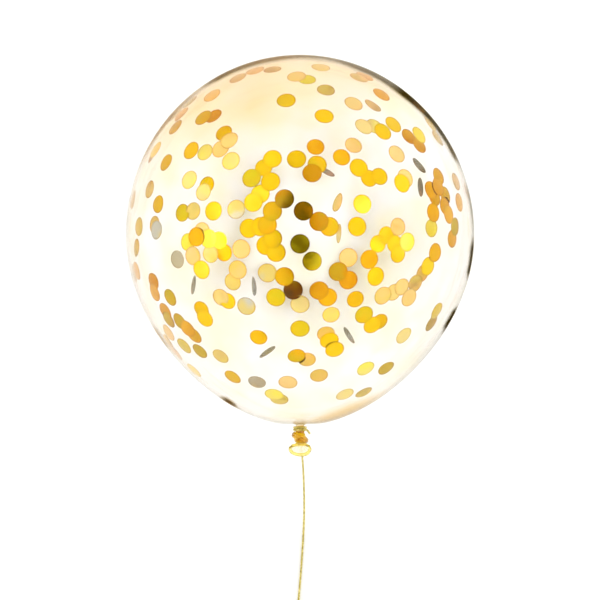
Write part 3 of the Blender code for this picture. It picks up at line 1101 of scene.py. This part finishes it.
def makeFoil():
    material, nodes, links, shader = newMaterial("goldFoil")
    shader.inputs["Metallic"].default_value = 1.0
    place, patches, grain = addGrain(nodes, links, patchScale=70, grainScale=520)
    tone = addNode(nodes, "ShaderNodeAttribute", attribute_name="tone")
    # each disc's tone drifts a little across it
    drift = addRange(nodes, links, patches, 0, 1, -0.025, 0.025)
    toned = addMath(nodes, links, "ADD", tone.outputs["Fac"], drift)
    # the three darkest stops, for upright, leaning and brown discs, are painted shade
    colour = addRamp(nodes, links, toned, [
        (0.0, (0.14, 0.12, 0.06)), (0.045, (0.46, 0.15, 0.006)), (0.085, (0.50, 0.31, 0.008)),
        (0.12, (0.60, 0.25, 0.002)),
        (0.21, (0.76, 0.39, 0.003)), (0.32, (0.60, 0.46, 0.010)), (0.45, (0.79, 0.48, 0.002)),
        (0.58, (0.85, 0.58, 0.012)), (0.70, (0.87, 0.77, 0.08)), (0.80, (0.80, 0.62, 0.22)),
        (0.90, (0.82, 0.53, 0.19)), (0.93, (0.72, 0.52, 0.12)), (0.96, (0.66, 0.50, 0.14)),
        (1.0, (0.53, 0.49, 0.38))])
    # a slightly deeper colour towards each disc's edge
    centred = addMeasure(nodes, links, "DISTANCE", place.outputs["UV"], (0.5, 0.5, 0))
    edge = addRange(nodes, links, centred, 0.40, 0.5, soft=True)
    deepened = addTint(nodes, links, edge, colour, (0.78, 0.66, 0.50))
    links.new(deepened, shader.inputs["Base Color"])
    links.new(addRange(nodes, links, patches, 0, 1, 0.12, 0.26), shader.inputs["Roughness"])
    addBump(nodes, links, grain, shader, strength=0.12, distance=0.0004)
    return material


def makeGoldThread():
    material, nodes, links, shader = newMaterial("goldThread")
    shader.inputs["Metallic"].default_value = 0.75
    _, patches, grain = addGrain(nodes, links, patchScale=700, grainScale=3200)
    colour = addRamp(nodes, links, patches, [
        (0.0, (0.38, 0.29, 0.05)), (0.6, (0.66, 0.55, 0.14)), (1.0, (0.90, 0.80, 0.34))])
    links.new(colour, shader.inputs["Base Color"])
    links.new(addRange(nodes, links, grain, 0, 1, 0.25, 0.5), shader.inputs["Roughness"])
    addBump(nodes, links, grain, shader, strength=0.35, distance=0.0002)
    return material


def makeBandPaper():
    material, nodes, links, shader = newMaterial("bandPaper")
    _, patches, grain = addGrain(nodes, links, patchScale=500, grainScale=2600)
    colour = addRamp(nodes, links, patches, [(0.0, (0.74, 0.70, 0.60)), (1.0, (0.88, 0.85, 0.77))])
    links.new(colour, shader.inputs["Base Color"])
    shader.inputs["Roughness"].default_value = 0.8
    addBump(nodes, links, grain, shader, strength=0.3, distance=0.0002)
    return material


paint(clearSkin, makeClearLatex())
thickLatex = makeThickLatex()
paint(latexKnot, thickLatex)
paint(latexTail, thickLatex)
paint(foilConfetti, makeFoil())
goldThread = makeGoldThread()
paint(goldString, goldThread)
paint(neckTie, goldThread)
paint(paperBand, makeBandPaper())
print("materials made")


# Floor, light and studio
studioSetup = {
    "floorSize": 12,
    "floorDrop": 0.0006,
    "floorColour": (0.96, 0.96, 0.96),
    "worldLight": 1.37,
    "gapDark": (0.15, 0.14, 0.05),
    "gapAcross": math.radians(10),   # dark gap between the lights, straight overhead
    "gapAlong": math.radians(40),
    "gapEdge": (0.65, 1.45),         # where it begins and ends to lighten, in its own sizes
    "boxSize": (1.5, 0.5),           # along the balloon, and across
    "boxPlace": (2.2, 0.2, 1.8),
    "boxPower": 2.8,
}


def makeFloor():
    s = studioSetup
    bpy.ops.object.select_all(action="DESELECT")
    bpy.ops.mesh.primitive_plane_add(size=s["floorSize"], location=(0, 0, -s["floorDrop"]))
    floor = bpy.context.object
    floor.name = "floor"
    material, _, _, shader = newMaterial("paleFloor")
    shader.inputs["Base Color"].default_value = (*s["floorColour"], 1)
    shader.inputs["Roughness"].default_value = 0.85
    shader.inputs["Specular IOR Level"].default_value = 0.1
    paint(floor, material)


def makeWorld():
    s = studioSetup
    world = bpy.data.worlds.new("studioLight")
    bpy.context.scene.world = world
    world.use_nodes = True
    nodes, links = world.node_tree.nodes, world.node_tree.links
    background = nodes["Background"]
    background.inputs["Strength"].default_value = s["worldLight"]
    direction = nodes.new("ShaderNodeTexCoord")
    squeeze = addNode(nodes, "ShaderNodeMapping", vector_type="POINT")
    squeeze.inputs["Scale"].default_value = (
        1 / math.sin(s["gapAcross"]), 1 / math.sin(s["gapAlong"]), 0)
    size = addNode(nodes, "ShaderNodeVectorMath", operation="LENGTH")
    links.new(direction.outputs["Generated"], squeeze.inputs["Vector"])
    links.new(squeeze.outputs["Vector"], size.inputs[0])
    gap = addRange(nodes, links, size.outputs["Value"], *s["gapEdge"], soft=True)
    colours = addRamp(nodes, links, gap, [(0.0, s["gapDark"]), (1.0, (1, 1, 1))])
    links.new(colours, background.inputs["Color"])


def addSoftBox(side):
    s = studioSetup
    x, y, z = s["boxPlace"]
    bpy.ops.object.light_add(type="AREA", location=(side * x, y, z))
    light = bpy.context.object
    light.name = "softBoxRight" if side > 0 else "softBoxLeft"
    light.data.shape = "RECTANGLE"
    light.data.size, light.data.size_y = s["boxSize"]
    light.data.energy = s["boxPower"]
    aim = Vector((0, 0, axisHeight)) - light.location
    light.rotation_euler = aim.to_track_quat("-Z", "Y").to_euler()


makeFloor()
makeWorld()
addSoftBox(-1)
addSoftBox(1)

scene = bpy.context.scene
scene.view_settings.view_transform = "Standard"
scene.cycles.max_bounces = 24
scene.cycles.transmission_bounces = 20
scene.cycles.transparent_max_bounces = 24
scene.cycles.glossy_bounces = 8
print("studio lit")
